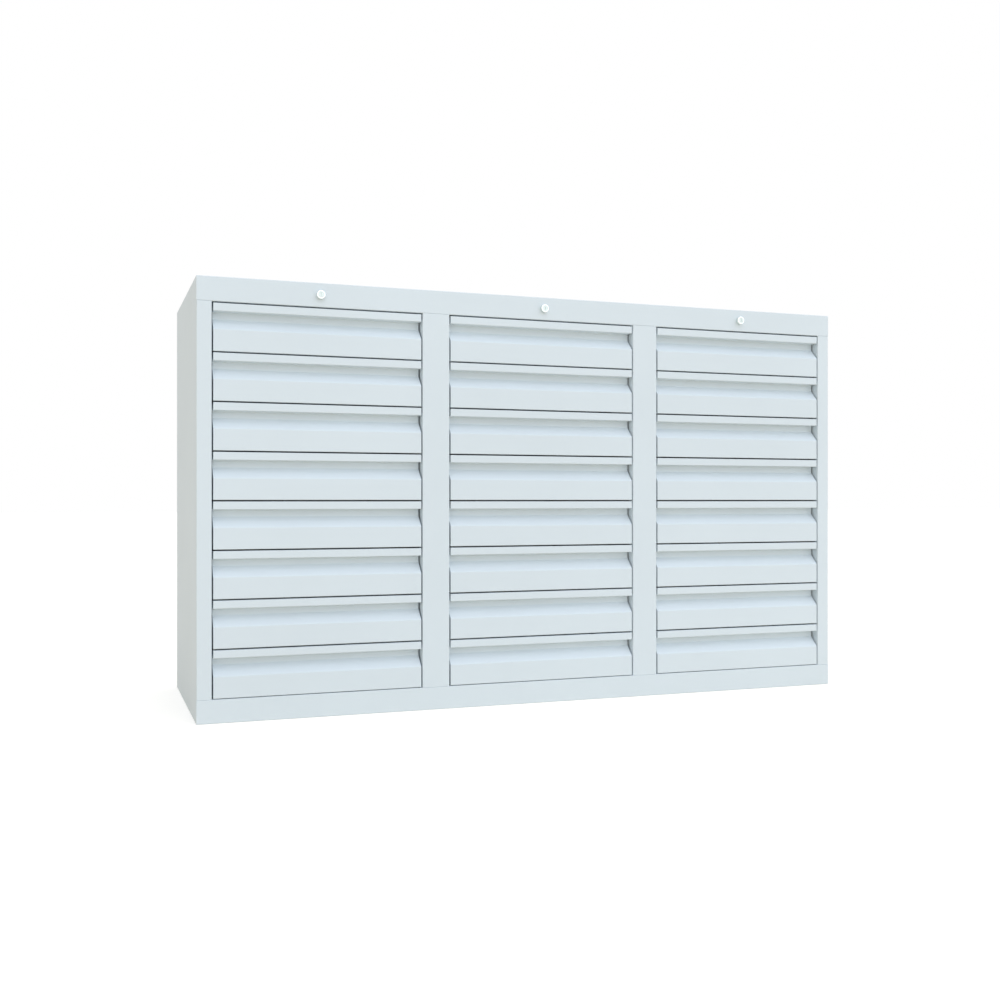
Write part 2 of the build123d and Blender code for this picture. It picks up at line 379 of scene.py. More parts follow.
@dataclass(frozen=True)
class ZincPlate(Finish):
    """Bright zinc on rolled strip: faint streaks along the strip and a soft spangle."""

    rolled: Rolled
    streak: Grain = (1.0, 4.0, 0.65)
    spangle_scale: float = 150.0
    streak_share: float = 0.55
    tones: Span = (0.25, 0.75)
    shades: Span = (0.8, 1.0)
    roughness: float = 0.28
    roughness_swings: Span = (0.12, 0.08)
    relief: Span = (0.00002, 0.5)

    def recipe(self, wiring: Wiring) -> Plugs:
        """Works out the plate's streaks, spangle and gloss.

        Args:
            wiring: the material's wiring.

        Returns:
            The shader's sockets.
        """
        streak = wiring.noise(wiring.stretched(self.rolled.value), self.streak)
        cells: Plugs = {"Vector": wiring.point(), "Scale": self.spangle_scale}
        cell = wiring.node("ShaderNodeTexVoronoi", {"feature": "F1"}, cells, "Color")
        spangle = wiring.node("ShaderNodeSeparateColor", {}, {"Color": cell}, "Red")
        tone = wiring.spread(streak * self.streak_share + spangle * (1 - self.streak_share), self.tones)
        by_streak, by_spangle = self.roughness_swings
        return {
            "Base Color": wiring.tint(tone, self.colour, self.shades),
            "Metallic": 1.0,
            "Roughness": streak * by_streak + spangle * by_spangle + self.roughness,
            "Normal": wiring.bump(streak, self.relief),
        }


@dataclass(frozen=True)
class NickelPlate(Finish):
    """Nickel plate on the brass of a lock, turned and buffed, with hairlines left by the buff."""

    roughness: float
    roughness_swing: float = 0.1
    stretch: Move = (900.0, 60.0, 4000.0)
    hair: Grain = (1.0, 3.0, 0.6)
    smear: Grain = (260.0, 3.0, 0.6)
    shades: Span = (0.93, 1.0)
    relief: Span = (0.000004, 0.35)

    def recipe(self, wiring: Wiring) -> Plugs:
        """Works out the plating's hairlines and smears.

        Args:
            wiring: the material's wiring.

        Returns:
            The shader's sockets.
        """
        hair = wiring.noise(wiring.stretched(self.stretch), self.hair)
        smear = wiring.noise(wiring.point(), self.smear)
        return {
            "Base Color": wiring.tint(smear, self.colour, self.shades),
            "Metallic": 1.0,
            "Roughness": smear * self.roughness_swing + self.roughness,
            "Normal": wiring.bump(hair, self.relief),
        }


@dataclass(frozen=True)
class PaleFloor(Finish):
    """Studio floor: white where it is seen, with the cabinet's soft shadow left on it."""

    glow: Colour
    mottle: Grain = (3.0, 3.0, 0.5)
    shades: Span = (0.98, 1.0)
    roughness: float = 0.95

    def recipe(self, wiring: Wiring) -> Plugs:
        """Works out the floor's tone, and the glow that only the camera and reflections see.

        Args:
            wiring: the material's wiring.

        Returns:
            The shader's sockets.
        """
        mottle = wiring.noise(wiring.point(), self.mottle)
        seen = wiring.seen()
        return {
            "Base Color": wiring.tint(mottle, self.colour, self.shades),
            "Roughness": self.roughness,
            "Specular IOR Level": 0.0,
            "Emission Color": wiring.blend(seen, BLACK, self.glow),
            "Emission Strength": 1.0,
        }


class Finishes:
    """Every material of the cabinet and its studio, made once."""

    def __init__(self) -> None:
        """Makes the materials."""
        grey = srgb(217, 226, 231)
        steel = srgb(196, 198, 200)
        self.case = PowderCoat("case_powder_coat", grey).material()
        self.drawer = PowderCoat("drawer_powder_coat", grey).material()
        self.runner = ZincPlate("zinc_plated_runner_steel", steel, Rolled.DEPTH).material()
        self.bar = ZincPlate("zinc_plated_bar_steel", steel, Rolled.HEIGHT).material()
        self.lock = NickelPlate("polished_nickel", srgb(232, 238, 234), roughness=0.16).material()
        self.plug = NickelPlate("satin_nickel", srgb(200, 207, 201), roughness=0.3).material()
        glow = (0.38, 0.42, 0.51, 1.0)
        self.floor = PaleFloor("studio_floor", srgb(236, 226, 205), glow).material()


# Modelling, with primitives that are shaped in edit mode and finished by modifiers

def take(*pieces: Piece) -> None:
    """Selects some pieces and nothing else, and makes the first one active.

    Args:
        pieces: the pieces, or none to leave nothing selected.
    """
    bpy.ops.object.select_all(action="DESELECT")
    for piece in reversed(pieces):
        piece.select_set(True)
        bpy.context.view_layer.objects.active = piece


def settle(name: str) -> Piece:
    """Applies the active piece's place to its mesh.

    Args:
        name: the piece's name from now on.

    Returns:
        The piece.
    """
    piece = bpy.context.active_object
    take(piece)
    bpy.ops.object.transform_apply(location=True, rotation=True, scale=True)
    piece.name = piece.data.name = name
    return piece


def plane(name: str, middle: Corner, turn: Move, size: Span) -> Piece:
    """Adds one flat rectangle about its middle.

    Args:
        name: the piece's name.
        middle: where its middle is.
        turn: how it is turned out of the level.
        size: its two sides.

    Returns:
        The piece.
    """
    take()
    bpy.ops.mesh.primitive_plane_add(size=1.0, location=middle, rotation=turn)
    bpy.context.active_object.scale = (*size, 1.0)
    return settle(name)


def sheet(name: str, low: Corner, high: Corner) -> Piece:
    """Adds one flat rectangle between two corners that share a coordinate.

    Args:
        name: the piece's name.
        low: its lowest corner.
        high: its highest corner.

    Returns:
        The piece.
    """
    low, high = Vector(low), Vector(high)
    size = high - low
    flat = min((X, Y, Z), key=lambda axis: abs(size[axis]))
    turn = ((0.0, QUARTER, 0.0), (QUARTER, 0.0, 0.0), (0.0, 0.0, 0.0))[flat]
    sides = ((size.z, size.y), (size.x, size.z), (size.x, size.y))[flat]
    return plane(name, (low + high) / 2, turn, sides)


def turning(name: str, line: Span, profile: Sequence[Span], sides: Sides, turn: float = 0.0) -> Piece:
    """Turns a solid about a line along the depth, by extruding a disc and resizing it.

    Args:
        name: the piece's name.
        line: where the line is across the cabinet, and its height.
        profile: a depth and a radius for each step, from the front to the back.
        sides: how many sides it has.
        turn: how far its first side is turned.

    Returns:
        The piece.
    """
    x, z = line
    (depth, radius), *steps = profile
    place = {"location": (x, depth, z), "rotation": (QUARTER, turn, 0.0)}
    take()
    bpy.ops.mesh.primitive_circle_add(vertices=sides.value, radius=radius, fill_type="NGON", **place)
    piece = settle(name)
    edit(piece)
    for next_depth, next_radius in steps:
        pull((0.0, next_depth - depth, 0.0))
        scale = next_radius / radius
        if not near(scale, 1.0):
            bpy.ops.transform.resize(value=(scale, 1.0, scale), center_override=(x, next_depth, z))
        depth, radius = next_depth, next_radius
    face_out(piece)
    close()
    return piece


def bar(name: str, low: Corner, high: Corner, easing: float = 0.0) -> Piece:
    """Makes a block from a flat rectangle.

    Args:
        name: the piece's name.
        low: its lowest corner.
        high: its highest corner.
        easing: how much its edges are eased.

    Returns:
        The piece.
    """
    low, high = Vector(low), Vector(high)
    piece = sheet(name, low, (high.x, high.y, low.z))
    edit(piece)
    pull((0.0, 0.0, high.z - low.z))
    face_out(piece)
    close()
    return ease(piece, easing) if easing else piece


def folded(name: str, low: Corner, high: Corner, folds: Sequence[Fold], bend: float) -> Piece:
    """Folds a flat rectangle into an open sheet, and leaves it in edit mode.

    Args:
        name: the piece's name.
        low: the rectangle's lowest corner.
        high: its highest corner.
        folds: the axis and the place of each edge that is folded, with the moves that take it on.
        bend: the radius of the bends.

    Returns:
        The piece.
    """
    piece = sheet(name, low, high)
    edit(piece)
    for axis, place, moves in folds:
        pick_edges(piece, at(axis, place))
        pull(*moves)
    face_out(piece)
    round_folds(piece, bend)
    return piece


def edit(piece: Piece) -> None:
    """Opens a piece in edit mode with all its faces selected.

    Args:
        piece: the piece.
    """
    take(piece)
    bpy.ops.object.mode_set(mode="EDIT")
    bpy.ops.mesh.select_mode(type=Pick.FACES.value)
    bpy.ops.mesh.select_all(action="SELECT")


def close() -> None:
    """Leaves edit mode."""
    bpy.ops.object.mode_set(mode="OBJECT")


def pick(piece: Piece, kind: Pick, test: PartTest) -> int:
    """Selects the edges or the faces that pass a test, and only those.

    Args:
        piece: the piece, in edit mode.
        kind: whether edges or faces are picked.
        test: says whether one is wanted.

    Returns:
        How many are selected.
    """
    bpy.ops.mesh.select_mode(type=kind.value)
    bpy.ops.mesh.select_all(action="DESELECT")
    mesh = bmesh.from_edit_mesh(piece.data)
    wanted = [part for part in (mesh.edges if kind is Pick.EDGES else mesh.faces) if test(part)]
    for part in wanted:
        part.select_set(True)
    bmesh.update_edit_mesh(piece.data)
    return len(wanted)


def pick_edges(piece: Piece, test: EdgeTest, least: float = 0.0) -> int:
    """Selects the edges whose two ends pass a test.

    Args:
        piece: the piece, in edit mode.
        test: says whether an edge between two points is wanted.
        least: the least turn between its two faces, or 0 to take any edge.

    Returns:
        How many edges are selected.
    """

    def wanted(edge: bmesh.types.BMEdge) -> bool:
        """Whether an edge is bent far enough and passes the test."""
        bent = len(edge.link_faces) == 2 and edge.calc_face_angle(0.0) > least
        return (bent or not least) and test(*(corner.co for corner in edge.verts))

    return pick(piece, Pick.EDGES, wanted)


def pick_faces(piece: Piece, test: FaceTest) -> int:
    """Selects the faces whose corners pass a test, and says how many."""
    return pick(piece, Pick.FACES, lambda face: test([corner.co for corner in face.verts]))


def pull(*moves: Move) -> None:
    """Extrudes what is selected by one move after another."""
    for move in moves:
        bpy.ops.mesh.extrude_region_move(TRANSFORM_OT_translate={"value": move})


def round_off(radius: float, segments: int = 4) -> None:
    """Bevels the selected edges."""
    way = {"offset_type": "OFFSET", "profile": 0.5, "affect": "EDGES", "clamp_overlap": False}
    bpy.ops.mesh.bevel(offset=radius, segments=segments, **way)


def round_folds(piece: Piece, radius: float, test: EdgeTest = anywhere) -> None:
    """Rounds the folds of an open sheet that pass a test."""
    if pick_edges(piece, test, FOLDED):
        round_off(radius)


def face_out(piece: Piece) -> None:
    """Turns the faces of the open piece away from its middle.

    Args:
        piece: the piece, in edit mode.
    """
    bpy.ops.mesh.select_all(action="SELECT")
    bpy.ops.mesh.remove_doubles(threshold=WELD)
    bpy.ops.mesh.normals_make_consistent(inside=False)
    mesh = bmesh.from_edit_mesh(piece.data)
    middle = sum((corner.co for corner in mesh.verts), Vector()) / len(mesh.verts)
    if sum(face.calc_area() * face.normal.dot(face.calc_center_median() - middle) for face in mesh.faces) < 0:
        bpy.ops.mesh.flip_normals()


def flatten() -> None:
    """Takes the lines out of the flats of the open piece."""
    bpy.ops.mesh.select_all(action="SELECT")
    bpy.ops.mesh.dissolve_limited(angle_limit=LEVEL)


def split(piece: Piece, test: FaceTest, point: Corner, axis: int) -> None:
    """Cuts the faces that pass a test across one axis at a point."""
    if pick_faces(piece, test):
        bpy.ops.mesh.bisect(plane_co=point, plane_no=tuple(float(axis == other) for other in (X, Y, Z)))


def notch(piece: Piece, low: Move, high: Move) -> None:
    """Cuts away what lies in a box from an open sheet, and leaves no line in the flats around it.

    Args:
        piece: the piece, in edit mode.
        low: the box's lowest corner.
        high: the box's highest corner.
    """

    def touches(corners: Sequence[Vector]) -> bool:
        """Whether a face reaches into the box."""
        spans = [(min(c[i] for c in corners), max(c[i] for c in corners)) for i in (X, Y, Z)]
        return all(a < high[i] - HAIR and b > low[i] + HAIR for i, (a, b) in enumerate(spans))

    for axis in (X, Y, Z):
        for corner in (low, high):
            split(piece, touches, corner, axis)
    if pick_faces(piece, touches):
        bpy.ops.mesh.delete(type="FACE")
    flatten()


def apply(piece: Piece, kind: str, settings: Settings) -> Piece:
    """Adds a modifier and applies it.

    Args:
        piece: the piece.
        kind: the modifier's type.
        settings: its properties.

    Returns:
        The same piece.
    """
    take(piece)
    made = piece.modifiers.new(kind.lower(), kind)
    for key, value in settings.items():
        setattr(made, key, value)
    bpy.ops.object.modifier_apply(modifier=made.name)
    return piece


def thicken(piece: Piece, thickness: float) -> Piece:
    """Closes a folded sheet and gives it its thickness, behind its outer face."""
    close()
    return apply(piece, "SOLIDIFY", {"thickness": thickness, "offset": -1.0, "use_even_offset": True})


def ease(piece: Piece, width: float, segments: int = 2) -> Piece:
    """Takes the sharpness off the edges that are left."""
    settings = {"width": width, "segments": segments, "limit_method": "ANGLE", "angle_limit": SHARP}
    return apply(piece, "BEVEL", settings)


def smooth(piece: Piece) -> Piece:
    """Shades the folds smooth and keeps the flats flat.

    Args:
        piece: the piece.

    Returns:
        The same piece.
    """
    take(piece)
    bpy.ops.object.shade_smooth_by_angle(angle=CURVED)
    return apply(piece, "WEIGHTED_NORMAL", {"keep_sharp": True})


def finish(piece: Piece, width: float, segments: int = 2) -> Piece:
    """Eases a piece's edges and shades it."""
    return smooth(ease(piece, width, segments))


def cut(piece: Piece, tool: Piece) -> None:
    """Takes the shape of a tool out of a solid, and puts the tool away."""
    apply(piece, "BOOLEAN", {"operation": "DIFFERENCE", "solver": "EXACT", "object": tool})
    bpy.data.objects.remove(tool)


def drill(piece: Piece, line: Span, front: float, back: float, radius: float, sides: Sides) -> None:
    """Drills a hole about a line along the depth, from one depth to another."""
    cut(piece, turning("drill", line, ((front, radius), (back, radius)), sides))


def join(pieces: Sequence[Piece], name: str) -> Piece:
    """Joins pieces into one that keeps each one's material.

    Args:
        pieces: the pieces.
        name: the joined piece's name.

    Returns:
        The joined piece.
    """
    take(*pieces)
    bpy.ops.object.join()
    pieces[0].name = pieces[0].data.name = name
    return pieces[0]


def copy(piece: Piece, name: str, move: Corner) -> Piece:
    """Copies a finished piece with its own mesh.

    Args:
        piece: the piece to copy.
        name: the copy's name.
        move: how far it lies from the first.

    Returns:
        The copy.
    """
    take(piece)
    bpy.ops.object.duplicate(linked=False)
    bpy.context.active_object.location = move
    return settle(name)


def dress(piece: Piece, material: bpy.types.Material) -> Piece:
    """Gives a piece its material.

    Args:
        piece: the piece.
        material: the material.

    Returns:
        The same piece.
    """
    piece.data.materials.clear()
    piece.data.materials.append(material)
    return piece


def fit(piece: Piece, body: str, slot: str, *nodes: str) -> Piece:
    """Says which body a piece rides on, and hides the nodes that it stands for.

    Args:
        piece: the piece.
        body: the body that it moves with.
        slot: not used.
        nodes: the nodes that it replaces.

    Returns:
        The same piece.
    """
    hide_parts(*nodes)
    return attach(piece, body)


# The case

@dataclass
class CaseShell:
    """The case: wrap, top pan, base pan, and the channels between the columns and at the sides."""

    finishes: Finishes
    sheet: float = 1.2 * MM
    bend: float = 1.6 * MM
    relief: float = 0.99 * MM
    edge: float = 0.12 * MM
    rail_fold: float = 25 * MM
    seam: float = 0.1 * MM
    stile: float = 30 * MM
    mullion: float = 60 * MM
    lock_hole: float = 8.2 * MM
    hole_depth: float = 4 * MM
    beyond: float = 1 * MM

    def __post_init__(self) -> None:
        """Reads the case's places from its own solids."""
        self.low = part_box("base_panel")[0]
        self.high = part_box("top_panel")[1]
        self.rail_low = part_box("base_panel")[1].z
        self.rail_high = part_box("top_panel")[0].z
        self.bottom = self.low.z + self.sheet
        self.top = self.high.z - self.sheet
        self.inside = self.high.x - self.sheet
        self.ahead = self.low.y - self.beyond
        self.fold_back = self.low.y + self.rail_fold

    def build(self) -> List[Piece]:
        """Builds and dresses the case.

        Returns:
            Its pieces.
        """
        top = self._pan("folded_top_pan", self.high.z, self.rail_high)
        for letter in COLUMNS:
            line = (column_middle(letter), (self.rail_high + self.high.z) / 2)
            drill(top, line, self.ahead, self.low.y + self.hole_depth, self.lock_hole, Sides.BARREL)
        base = self._pan("folded_base_pan", self.low.z, self.rail_low)
        shells = {"case_wrap": self._wrap(), "top_panel": top, "base_panel": base}
        made = {node: finish(piece, self.edge, segments=1) for node, piece in shells.items()}
        made["column_partitions"] = self._channels()
        return [
            fit(dress(piece, self.finishes.case), "case", "case_paint", node)
            for node, piece in made.items()
        ]

    def _rail_zones(self) -> Tuple[Span, Span]:
        """The heights that the bottom and the top rail take, seams and all."""
        below = (self.low.z - self.beyond, self.rail_low + self.seam)
        return below, (self.rail_high - self.seam, self.high.z + self.beyond)

    def _wrap(self) -> Piece:
        """Folds the back, the sides and the stiles from one sheet.

        Returns:
            The wrap.
        """
        low, high = self.low, self.high
        start, end = (low.x, high.y, self.bottom), (high.x, high.y, self.top)
        folds = [
            (X, edge, ((0, low.y - high.y, 0), (-side * self.stile, 0, 0), (0, self.rail_fold, 0)))
            for side, edge in ((1, high.x), (-1, low.x))
        ]
        piece = folded("folded_case_wrap", start, end, folds, self.bend)
        for z0, z1 in self._rail_zones():
            behind = (self.inside, self.fold_back + self.beyond, z1)
            notch(piece, (-self.inside, self.ahead, z0), behind)
            flush = (high.x + self.beyond, low.y + self.relief, z1)
            notch(piece, (low.x - self.beyond, self.ahead, z0), flush)
        return thicken(piece, self.sheet)

    def _pan(self, name: str, flat: float, edge: float) -> Piece:
        """Folds the top or the floor with its rail and the flange behind the rail.

        Args:
            name: the piece's name.
            flat: the height of the outer face of its flat.
            edge: the height of the outer face of its flange.

        Returns:
            The pan.
        """
        low, high = self.low, self.high
        folds = ((Y, low.y, ((0, 0, edge - flat), (0, self.rail_fold, 0))),)
        piece = folded(name, (low.x, low.y, flat), (high.x, high.y, flat), folds, self.bend)
        half = abs(edge - flat) / 2
        for x0, x1 in ((low.x - self.beyond, -self.inside), (self.inside, high.x + self.beyond)):
            start = (x0, low.y + self.relief, edge - half)
            notch(piece, start, (x1, self.fold_back + self.beyond, edge + half))
        return thicken(piece, self.sheet)

    def _channels(self) -> Piece:
        """Folds the mullion posts and the side liners, and joins them."""
        made = [self._post(left, right) for left, right in zip(COLUMNS, COLUMNS[1:])]
        return join(made + [self._liner(side) for side in (-1, 1)], "folded_column_channels")

    def _post(self, left: str, right: str) -> Piece:
        """Folds one mullion post: its web shows, and its sides run back as partitions.

        Args:
            left: the column on its left.
            right: the column on its right.

        Returns:
            The post.
        """
        centre = (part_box(f"drawer_{left}1_front")[1].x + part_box(f"drawer_{right}1_front")[0].x) / 2
        x0, x1 = centre - self.mullion / 2, centre + self.mullion / 2
        front, back = self.low.y, self.high.y - self.sheet
        folds = [(X, edge, ((0, back - front, 0),)) for edge in (x0, x1)]
        piece = folded("mullion_post", (x0, front, self.bottom), (x1, front, self.top), folds, self.bend)
        for z0, z1 in self._rail_zones():
            notch(piece, (x0 - self.beyond, self.ahead, z0), (x1 + self.beyond, self.fold_back, z1))
        return finish(thicken(piece, self.sheet), self.edge, segments=1)

    def _liner(self, side: int) -> Piece:
        """Folds one side liner, which carries the outer runners.

        Args:
            side: -1 on the left and 1 on the right.

        Returns:
            The liner.
        """
        x = side * (self.high.x - self.stile)
        front, back = self.fold_back, self.high.y - self.sheet
        folds = [(Y, edge, ((side * (self.stile - self.sheet), 0, 0),)) for edge in (front, back)]
        piece = folded("side_liner", (x, front, self.bottom), (x, back, self.top), folds, self.bend)
        return finish(thicken(piece, self.sheet), self.edge, segments=1)


# The drawers

@dataclass
class DrawerPart:
    """A part that every drawer has: one is folded, and copied to each drawer."""

    finishes: Finishes
    part: str = ""

    def __post_init__(self) -> None:
        """Reads the place of the first drawer's own solid."""
        self.low, self.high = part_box(f"drawer_a1_{self.part}")
        self.middle = (self.low.x + self.high.x) / 2

    def fold(self) -> Piece:
        """Folds the first drawer's part."""
        raise NotImplementedError

    def build(self) -> List[Piece]:
        """Folds one part, dresses it and copies it to every drawer.

        Returns:
            The parts.
        """
        pattern = dress(self.fold(), self.finishes.drawer)
        made = []
        for place in (f"{letter}{row}" for letter in COLUMNS for row in ROWS):
            node = f"drawer_{place}_{self.part}"
            piece = copy(pattern, f"folded_{self.part}_{place}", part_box(node)[0] - self.low)
            made.append(fit(piece, f"drawer_{place}", "drawer_paint", node))
        bpy.data.objects.remove(pattern)
        return made


@dataclass
class DrawerFronts(DrawerPart):
    """The folded fronts, with a finger recess under each lip and closed ends."""

    part: str = "front"
    sheet: float = 1.0 * MM
    bend: float = 1.2 * MM
    end_bend: float = 0.5 * MM
    end_steps: int = 2
    lip: float = 16 * MM
    recess: float = 22 * MM
    recess_wall: float = 15 * MM
    window_half: float = 204.3 * MM
    window_low: float = 7.7 * MM
    window_high: float = 84.3 * MM

    def fold(self) -> Piece:
        """Folds one front from its flat face, up over the lip and round to its back.

        Returns:
            The front.
        """
        low, high = self.low, self.high
        depth = high.y - low.y
        top = high.z - self.lip - self.recess_wall - self.recess
        over = (
            (0, self.recess, self.recess),
            (0, 0, self.recess_wall),
            (0, -self.recess, 0),
            (0, 0, self.lip),
            (0, depth, 0),
            (0, 0, low.z + self.window_high - high.z),
        )
        folds = ((Z, top, over), (Z, low.z, ((0, depth, 0), (0, 0, self.window_low))))
        piece = folded("front_pattern", low, (high.x, low.y, top), folds, self.bend)
        self._close_ends(piece)
        face_out(piece)
        return smooth(thicken(piece, self.sheet))

    def _close_ends(self, piece: Piece) -> None:
        """Fills both ends of a front and turns a flange inwards behind each.

        Args:
            piece: the front, in edit mode.
        """
        at_back = at(Y, self.high.y)
        for edge, way in ((self.low.x, 1), (self.high.x, -1)):
            on_end = at(X, edge)

            def free(a: Vector, b: Vector) -> bool:
                """Whether an edge is the free back edge of this end's plate."""
                return on_end(a, b) and at_back(a, b) and abs(a.z - b.z) > self.recess

            pick_edges(piece, on_end)
            bpy.ops.mesh.edge_face_add()
            pick_edges(piece, free)
            pull((way * (abs(edge - self.middle) - self.window_half), 0, 0))
        for edge in (self.low.x, self.high.x):
            pick_edges(piece, at(X, edge))
            round_off(self.end_bend, self.end_steps)


@dataclass
class DrawerTrays(DrawerPart):
    """The folded trays, with out-turned rims, a stop tab at the back of each rim and a hooked catch."""

    part: str = "tray"
    sheet: float = 1.0 * MM
    bend: float = 2.0 * MM
    edge: float = 0.2 * MM
    half_width: float = 204 * MM
    length: float = 423.8 * MM
    height: float = 76 * MM
    rim: float = 11 * MM
    rim_setback: float = 6 * MM
    tab_width: float = 5.8 * MM
    tab_rise: float = 6.2 * MM
    catch_place: float = 10.757 * MM
    catch_sheet: float = 2.0 * MM
    catch_edge: float = 0.3 * MM
    catch_back: float = 42.5 * MM
    catch_lip: float = 6.0 * MM
    catch_low: float = 26.0 * MM
    catch_under: float = 42.97 * MM
    catch_top: float = 48.97 * MM

    def __post_init__(self) -> None:
        """Reads the tray's place, and works out its back, its rim's front and the rim's underside."""
        super().__post_init__()
        self.back = self.low.y + self.length
        self.rim_front = self.low.y + self.rim_setback
        self.under_rim = self.low.z + self.height - self.sheet

    def fold(self) -> Piece:
        """Folds one tray and puts the catch on its back."""
        return join([self._tray(), self._catch()], "tray_pattern")

    def _tray(self) -> Piece:
        """Folds the floor, walls, rims and stop tabs of one tray.

        Returns:
            The tray.
        """
        x0, x1 = self.middle - self.half_width, self.middle + self.half_width
        front, floor = self.low.y, self.low.z
        piece = sheet("tray_box", (x0, front, floor), (x1, self.back, floor))
        edit(piece)
        pick_edges(piece, anywhere)
        pull((0, 0, self.under_rim - floor))
        face_out(piece)
        for edge in (x0, x1):
            on_wall: FaceTest = lambda corners, x=edge: all(near(c.x, x) for c in corners)
            split(piece, on_wall, (edge, self.rim_front, floor), Y)

        def bent(a: Vector, b: Vector) -> bool:
            """Whether an edge is a bend of the floor or of the front corners."""
            return at(Z, floor)(a, b) or (at(Y, front)(a, b) and near(a.x, b.x))

        round_folds(piece, self.bend, bent)
        for edge, way in ((x0, -1), (x1, 1)):
            self._rim(piece, edge, way)
        face_out(piece)
        return finish(thicken(piece, self.sheet), self.edge)

    def _rim(self, piece: Piece, edge: float, way: int) -> None:
        """Turns one rim out and its stop tab up.

        Args:
            piece: the tray, in edit mode.
            edge: where the wall is across the cabinet.
            way: -1 on the left and 1 on the right.
        """

        def at_height(a: Vector, b: Vector) -> bool:
            """Whether an edge lies at the rim's height, behind the rim's front."""
            return at(Z, self.under_rim)(a, b) and min(a.y, b.y) > self.rim_front - HAIR

        pick_edges(piece, lambda a, b: at_height(a, b) and at(X, edge)(a, b))
        pull((way * self.rim, 0, 0))
        start = edge + way * (self.rim - self.tab_width)
        middle = edge + way * self.rim / 2
        on_rim: FaceTest = lambda corners: near(sum(c.x for c in corners) / len(corners), middle)
        split(piece, on_rim, (start, self.back, self.under_rim), X)

        def on_tab(a: Vector, b: Vector) -> bool:
            """Whether an edge is the back edge of the tab's part of the rim."""
            outside = min(way * (a.x - start), way * (b.x - start)) > -HAIR
            return outside and at_height(a, b) and at(Y, self.back)(a, b)

        pick_edges(piece, on_tab)
        pull((0, 0, self.tab_rise + self.sheet))

    def _catch(self) -> Piece:
        """Makes the hooked plate on the tray's back, which a stud of the lock bar holds.

        Returns:
            The catch.
        """
        x = self.middle + self.catch_place + self.catch_sheet / 2
        back = self.back + self.catch_back
        under, top = self.low.z + self.catch_under, self.low.z + self.catch_top
        piece = sheet("catch", (x, self.back, under), (x, back, top))
        edit(piece)
        split(piece, anywhere, (x, back - self.catch_lip, under), Y)
        lip_front = back - self.catch_lip - HAIR
        pick_edges(piece, lambda a, b: at(Z, under)(a, b) and min(a.y, b.y) > lip_front)
        pull((0, 0, self.catch_low - self.catch_under))
        flatten()
        return finish(thicken(piece, self.catch_sheet), self.catch_edge)


# The locks

